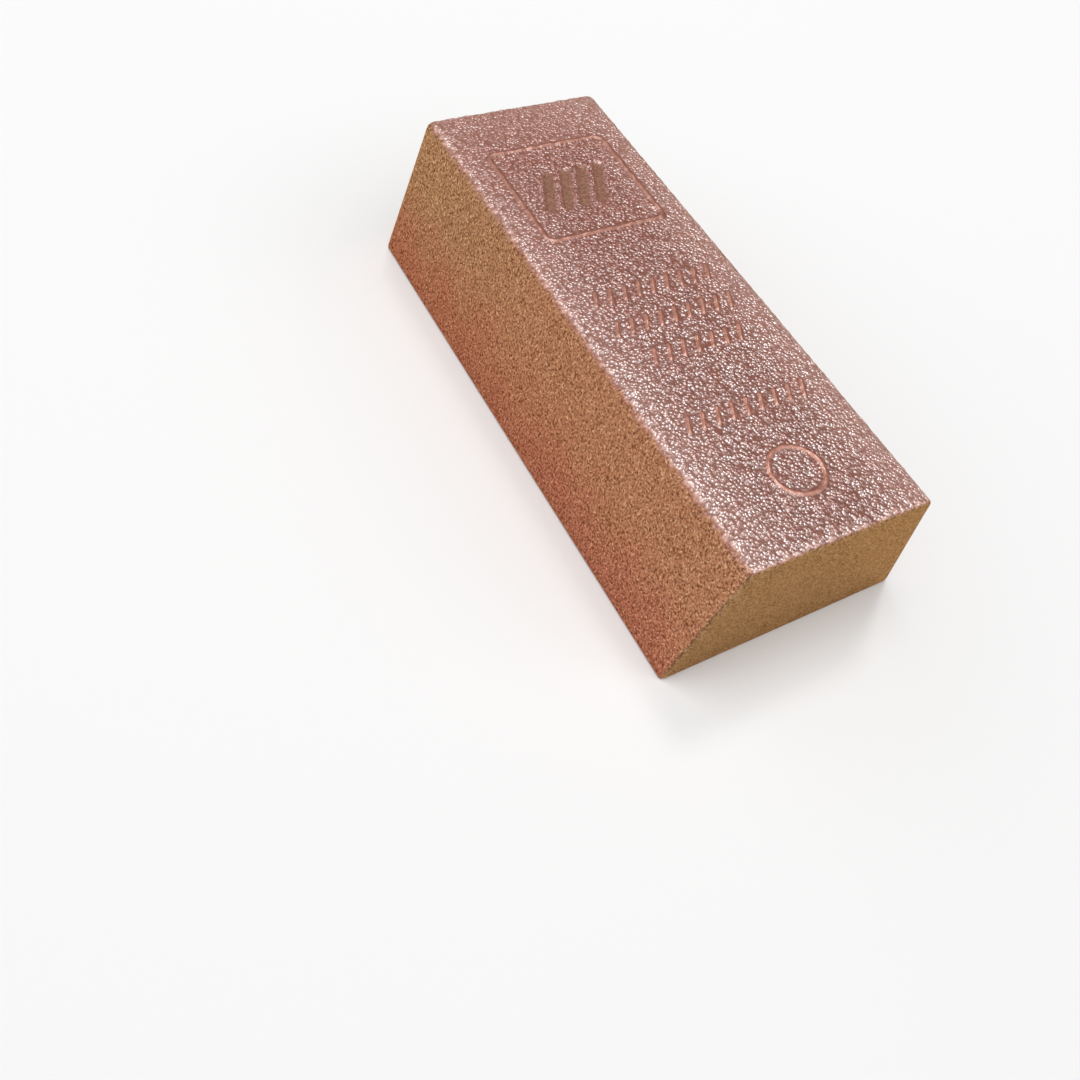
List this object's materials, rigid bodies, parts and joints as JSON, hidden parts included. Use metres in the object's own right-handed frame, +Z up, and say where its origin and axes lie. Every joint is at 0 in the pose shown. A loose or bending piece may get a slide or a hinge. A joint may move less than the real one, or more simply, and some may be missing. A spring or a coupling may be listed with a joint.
{
  "type": "copper ingot",
  "caption": "Cast copper ingot: a bar with a wide flat base, long sides leaning in to a narrower pebbled top with low plain relief, and upright ends.",
  "frame": {"origin": "middle of the flat base", "axes": "+Y along the bar, +Z up from the base to the narrower top, +X across the bar"},
  "size_m": [0.0362, 0.079, 0.0209],
  "materials": {
    "copper": "cast copper, pebbled on top and finely blasted on the sides and ends"
  },
  "bodies": {
    "root": {"ingot": "copper"}
  },
  "joints": []
}
